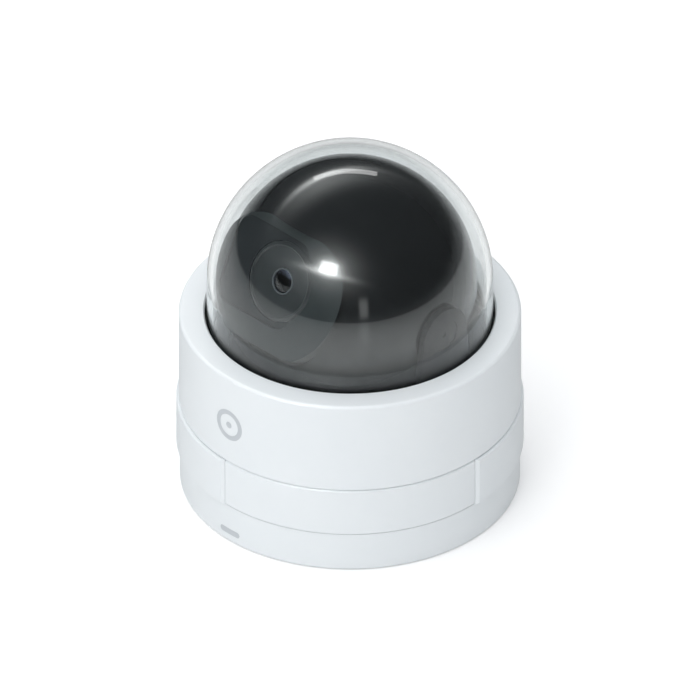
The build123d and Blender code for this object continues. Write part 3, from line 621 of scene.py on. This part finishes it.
@dataclass
class CoverMarks:
    """Pale generic marks printed on the white shells at the lens side."""

    materials: FramePieces
    proud: float = 0.03 * MM
    steps: int = 48
    ring_r: float = 4.3 * MM
    ring_w: float = 1.3 * MM
    dot_r: float = 0.9 * MM
    ring_z: float = 34.8 * MM
    dash_w: float = 6.6 * MM
    dash_h: float = 1.6 * MM
    dash_z: float = 2.9 * MM
    dash_columns: int = 24

    def wrapped(
        self,
        name: str,
        wall_r: float,
        outlines: list[tuple[float, float]],
        faces: list[tuple[int, ...]],
    ) -> bpy.types.Object:
        """Lay flat outlines round an upright wall, as printed ink.

        Args:
            name: The new piece's name.
            wall_r: Radius of the wall.
            outlines: Points (across, height) of the mark.
            faces: The point numbers of each face.

        Returns:
            The new object.
        """
        r = wall_r + self.proud
        points = [(r * math.sin(a / r), -r * math.cos(a / r), z) for a, z in outlines]
        piece = new_piece(name, points, faces)
        dress(piece, self.materials.material_of(GREY_INK))
        return piece

    def ring_mark(self, wall_r: float) -> bpy.types.Object:
        """A ring with a dot in it, on the cover ring.

        Args:
            wall_r: Radius of the cover ring.

        Returns:
            The new object.
        """
        points = []
        for i in range(self.steps):
            a = TURN * i / self.steps
            for r in (self.ring_r - self.ring_w, self.ring_r, self.dot_r):
                points.append((r * math.cos(a), self.ring_z + r * math.sin(a)))
        faces = []
        for i in range(self.steps):
            j = (i + 1) % self.steps
            faces.append((3 * i, 3 * i + 1, 3 * j + 1, 3 * j))
        faces.append(tuple(3 * i + 2 for i in range(self.steps)))
        return self.wrapped("cover_mark", wall_r, points, faces)

    def dash_mark(self, wall_r: float) -> bpy.types.Object:
        """The short alignment dash on the base, with rounded ends.

        Args:
            wall_r: Radius of the base's lower band.

        Returns:
            The new object.
        """
        half = self.dash_w / 2 - self.dash_h / 2
        upper = []
        lower = []
        for i in range(self.dash_columns + 1):
            across = -self.dash_w / 2 + self.dash_w * i / self.dash_columns
            past = max(0.0, abs(across) - half)
            rise = math.sqrt(max(0.0, (self.dash_h / 2) ** 2 - past**2))
            upper.append((across, self.dash_z + rise))
            lower.append((across, self.dash_z - rise))
        n = self.dash_columns + 1
        faces = [(i + n, i + n + 1, i + 1, i) for i in range(self.dash_columns)]
        return self.wrapped("alignment_dash", wall_r, upper + lower, faces)

    def build(self) -> None:
        """Print both marks."""
        _, cover_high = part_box("cover_ring")
        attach(self.ring_mark(cover_high[0]), "cover")
        # The base's lower band has a radius of 41.6 mm.
        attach(self.dash_mark(41.6 * MM), "base")
        LOG.info("marks printed on the cover ring and the base")


@dataclass
class LensTrim:
    """Pale ring round the front glass, a painted highlight for the light its edge scatters; its
    profile is (radius, depth) in millimetres.
    """

    materials: FramePieces
    steps: int = 96
    profile: tuple[tuple[float, float], ...] = (
        (2.90, 25.10),
        (2.90, 25.72),
        (2.98, 25.84),
        (3.12, 25.84),
        (3.22, 25.70),
        (3.22, 25.10),
    )

    def build(self) -> None:
        """Turn the rim about the lens axis and fix it to the camera head."""
        points = []
        for i in range(self.steps):
            a = TURN * i / self.steps
            for r, depth in self.profile:
                point = depth * MM * LENS_AHEAD + r * MM * math.sin(a) * LENS_UP
                points.append((r * MM * math.cos(a), point.y, TILT_AXIS_Z + point.z))
        n = len(self.profile)
        faces = []
        for i in range(self.steps):
            j = (i + 1) % self.steps
            for k in range(n):
                m = (k + 1) % n
                faces.append((n * i + k, n * j + k, n * j + m, n * i + m))
        piece = new_piece("lens_rim", points, faces)
        piece.data.shade_smooth()
        # The pale ring is a painted highlight, not a ground glass edge.
        dress(piece, self.materials.material_of(RIM_PAINTED_HIGHLIGHT))
        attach(piece, "tilt")
        LOG.info("lens rim turned")


@dataclass
class BallLine:
    """Painted shade: a thin matt black strip that darkens the arc engraved over the top of the
    camera ball.
    """

    materials: FramePieces
    azimuth: float = math.radians(30.2)
    elevation: float = math.radians(63.4)
    ball_r: float = 31.2 * MM
    offset: float = 23.4 * MM
    half_width: float = 0.22 * MM
    proud: float = 0.02 * MM
    start: float = math.radians(74.0)
    sweep: float = math.radians(100.0)
    steps: int = 80

    def build(self) -> None:
        """Lay the thin strip of painted shade along the arc and fix it to the camera head."""
        a, e = self.azimuth, self.elevation
        axis = Vector((math.sin(a) * math.cos(e), -math.cos(a) * math.cos(e), math.sin(e)))
        first = Vector((math.cos(a), math.sin(a), 0.0))
        second = axis.cross(first)
        centre = Vector((0.0, 0.0, TILT_AXIS_Z))
        points = []
        for i in range(self.steps + 1):
            angle = self.start + self.sweep * i / self.steps
            for side in (-1.0, 1.0):
                up = self.offset + side * self.half_width
                out = math.sqrt(self.ball_r**2 - up**2)
                spoke = out * (math.cos(angle) * first + math.sin(angle) * second) + up * axis
                points.append(centre + spoke * (1.0 + self.proud / self.ball_r))
        faces = [(2 * i, 2 * i + 2, 2 * i + 3, 2 * i + 1) for i in range(self.steps)]
        piece = new_piece("ball_line", points, faces)
        # The black strip is painted shade for the groove, not a paint fill.
        dress(piece, self.materials.material_of(GROOVE_PAINTED_SHADE))
        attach(piece, "tilt")
        LOG.info("arc painted on the ball")


class Visible(Enum):
    """Which rays see a lamp."""

    SOFT_ONLY = 0
    MIRRORED = 1


@dataclass(frozen=True)
class Softbox:
    """A rectangular lamp; angles in degrees, size in metres, radiance 1 is the floor's white."""

    name: str
    azimuth: float
    elevation: float
    size: tuple[float, float]
    radiance: float
    seen: Visible


@dataclass(frozen=True)
class SoftGlow:
    """A light in the sky that fades out from its centre; sizes are half widths in degrees."""

    azimuth: float
    elevation: float
    width: float
    height: float
    brightness: float
    edge: float = 2.0


@dataclass
class Studio:
    """Pale floor, soft light all round and a few soft lights that show in the gloss."""

    target: Vector = field(default_factory=lambda: Vector((0.0, 0.0, TILT_AXIS_Z)))
    sky: float = 0.55
    distance: float = 1.0
    floor_half: float = 30.0
    floor_drop: float = 0.2 * MM
    gloss_above: float = 0.055
    gloss_below: float = 0.46
    glows: tuple[SoftGlow, ...] = (
        SoftGlow(-23, 43, 8.0, 5.5, 20.0),
        SoftGlow(-26, 39, 17.0, 2.6, 9.0),
        SoftGlow(-23, 43, 20.0, 16.0, 3.2),
        SoftGlow(11, 12, 3.6, 8.0, 1.6, 4.0),
        SoftGlow(-158, 45, 19.0, 3.0, 6.2),
        SoftGlow(-156, 52, 26.0, 11.0, 2.2),
    )
    softboxes: tuple[Softbox, ...] = (
        Softbox("key_fill", -28, 38, (1.2, 1.2), 0.85, Visible.SOFT_ONLY),
        Softbox("top_fill", -110, 80, (1.2, 1.2), 1.25, Visible.SOFT_ONLY),
        Softbox("key_box", -23, 43, (0.26, 0.16), 6.0, Visible.MIRRORED),
        Softbox("rear_box", -176, 47, (0.6, 0.10), 4.0, Visible.MIRRORED),
    )

    def aim(self, azimuth: float, elevation: float) -> Vector:
        """Direction of a lamp, counted from the camera's own azimuth.

        Args:
            azimuth: Degrees from the camera's side of the object towards the camera's right.
            elevation: Degrees above the horizon.

        Returns:
            A unit vector from the object to the lamp.
        """
        a = VIEW_AZIMUTH + math.radians(azimuth)
        e = math.radians(elevation)
        return Vector((math.sin(a) * math.cos(e), -math.cos(a) * math.cos(e), math.sin(e)))

    def lamp(self, box: Softbox) -> None:
        """Hang one softbox that faces the object.

        Args:
            box: The softbox.
        """
        data = bpy.data.lights.new(box.name, "AREA")
        data.shape = "RECTANGLE"
        data.size, data.size_y = box.size
        data.energy = box.radiance * math.pi * box.size[0] * box.size[1]
        lamp = bpy.data.objects.new(box.name, data)
        way = self.aim(box.azimuth, box.elevation)
        lamp.location = self.target + self.distance * way
        lamp.rotation_euler = (-way).to_track_quat("-Z", "Y").to_euler()
        lamp.visible_camera = False
        lamp.visible_transmission = False
        lamp.visible_glossy = box.seen is Visible.MIRRORED
        bpy.context.scene.collection.objects.link(lamp)
        LOG.info("lamp %s", box.name)

    def floor(self) -> None:
        """Large white floor that glows a little, so that shadows stay light."""
        half = self.floor_half
        corners = [(-half, -half, 0), (half, -half, 0), (half, half, 0), (-half, half, 0)]
        plane = new_piece("studio_floor", corners, [(0, 1, 2, 3)])
        plane.location = (0.0, 0.0, -self.floor_drop)
        material, tree = blank_material("white_floor")
        shader = add_node(
            tree,
            "ShaderNodeBsdfPrincipled",
            {
                "Base Color": linear("fbfbfb"),
                "Roughness": 0.12,
                "IOR": 1.3,
                "Emission Color": linear("ffffff"),
                "Emission Strength": 0.1,
            },
        )
        add_node(tree, "ShaderNodeOutputMaterial", {}, {"Surface": shader.outputs[0]})
        dress(plane, material)
        plane.visible_glossy = False

    def add_math(
        self,
        tree: bpy.types.NodeTree,
        operation: str,
        first: bpy.types.NodeSocket | float,
        second: bpy.types.NodeSocket | float,
    ) -> bpy.types.NodeSocket:
        """One arithmetic step between sockets or numbers.

        Args:
            tree: The sky's node tree.
            operation: The name of the operation.
            first: Left operand, a socket or a number.
            second: Right operand, a socket or a number.

        Returns:
            The result's socket.
        """
        operands = {0: first, 1: second}
        numbers = {k: v for k, v in operands.items() if isinstance(v, (int, float))}
        sockets = {k: v for k, v in operands.items() if k not in numbers}
        settings = {"operation": operation, **numbers}
        return add_node(tree, "ShaderNodeMath", settings, sockets).outputs[0]

    def glow(
        self, tree: bpy.types.NodeTree, way: bpy.types.NodeSocket, soft: SoftGlow
    ) -> bpy.types.NodeSocket:
        """Brightness of one soft light in the sky, which fades away from its centre.

        Args:
            tree: The sky's node tree.
            way: Socket with the direction of the ray.
            soft: The light.

        Returns:
            The brightness socket.
        """
        centre = self.aim(soft.azimuth, soft.elevation)
        across = Vector((-centre.y, centre.x, 0.0)).normalized()
        upward = centre.cross(across)
        spread = []
        for axis, half in ((across, soft.width), (upward, soft.height)):
            part = add_node(
                tree, "ShaderNodeVectorMath", {"operation": "DOT_PRODUCT", 1: tuple(axis)}, {0: way}
            ).outputs["Value"]
            scaled = self.add_math(tree, "DIVIDE", part, math.sin(math.radians(half)))
            size = self.add_math(tree, "ABSOLUTE", scaled, 0.0)
            spread.append(self.add_math(tree, "POWER", size, soft.edge))
        fall = self.add_math(tree, "ADD", spread[0], spread[1])
        value = self.add_math(tree, "POWER", math.exp(-1.0), fall)
        facing = add_node(
            tree, "ShaderNodeVectorMath", {"operation": "DOT_PRODUCT", 1: tuple(centre)}, {0: way}
        ).outputs["Value"]
        ahead = self.add_math(tree, "GREATER_THAN", facing, 0.0)
        lit = self.add_math(tree, "MULTIPLY", value, ahead)
        return self.add_math(tree, "MULTIPLY", lit, soft.brightness)

    def world(self) -> None:
        """Even white sky, with soft lights that only the gloss shows."""
        world = bpy.data.worlds.new("studio_sky")
        world.use_nodes = True
        tree = world.node_tree
        tree.nodes.clear()
        way = add_node(tree, "ShaderNodeTexCoord").outputs["Generated"]
        height = add_node(tree, "ShaderNodeSeparateXYZ", {}, {0: way}).outputs["Z"]
        below = self.add_math(tree, "LESS_THAN", height, 0.0)
        shade = self.add_math(tree, "MULTIPLY", below, self.gloss_below - self.gloss_above)
        total = self.add_math(tree, "ADD", shade, self.gloss_above)
        for soft in self.glows:
            total = self.add_math(tree, "ADD", self.glow(tree, way, soft), total)
        path = add_node(tree, "ShaderNodeLightPath")
        even = add_node(
            tree, "ShaderNodeBackground", {"Color": linear("fafcff"), "Strength": self.sky}
        )
        glossy = add_node(
            tree, "ShaderNodeBackground", {"Color": linear("f6faf9")}, {"Strength": total}
        )
        both = add_node(
            tree,
            "ShaderNodeMixShader",
            {},
            {0: path.outputs["Is Glossy Ray"], 1: even.outputs[0], 2: glossy.outputs[0]},
        )
        add_node(tree, "ShaderNodeOutputWorld", {}, {"Surface": both.outputs[0]})
        world.cycles_visibility.transmission = False
        bpy.context.scene.world = world

    def camera(self) -> None:
        """Parallel view from the front right, from a third of the way up."""
        data = bpy.data.cameras.new("view")
        data.type = "ORTHO"
        data.ortho_scale = VIEW_WIDTH
        data.clip_end = VIEW_FAR
        camera = bpy.data.objects.new("view", data)
        back = self.aim(0.0, math.degrees(VIEW_ELEVATION))
        aim = Vector((0.0, 0.0, VIEW_TARGET_Z))
        camera.location = aim + VIEW_DISTANCE * back
        camera.rotation_euler = (-back).to_track_quat("-Z", "Y").to_euler()
        bpy.context.scene.collection.objects.link(camera)
        bpy.context.scene.camera = camera

    def build(self) -> None:
        """Set up floor, sky, lamps and camera."""
        self.floor()
        self.world()
        for box in self.softboxes:
            self.lamp(box)
        self.camera()
        scene = bpy.context.scene
        scene.view_settings.view_transform = "Standard"
        scene.view_settings.look = "None"


def main() -> None:
    """Build the dressed camera and its studio."""
    logging.basicConfig(level=logging.INFO, format="%(name)s: %(message)s")
    pieces = FramePieces(NODE_FINISHES)
    pieces.build()
    CoverMarks(pieces).build()
    LensTrim(pieces).build()
    BallLine(pieces).build()
    Studio().build()


if __name__ == "__main__":
    main()
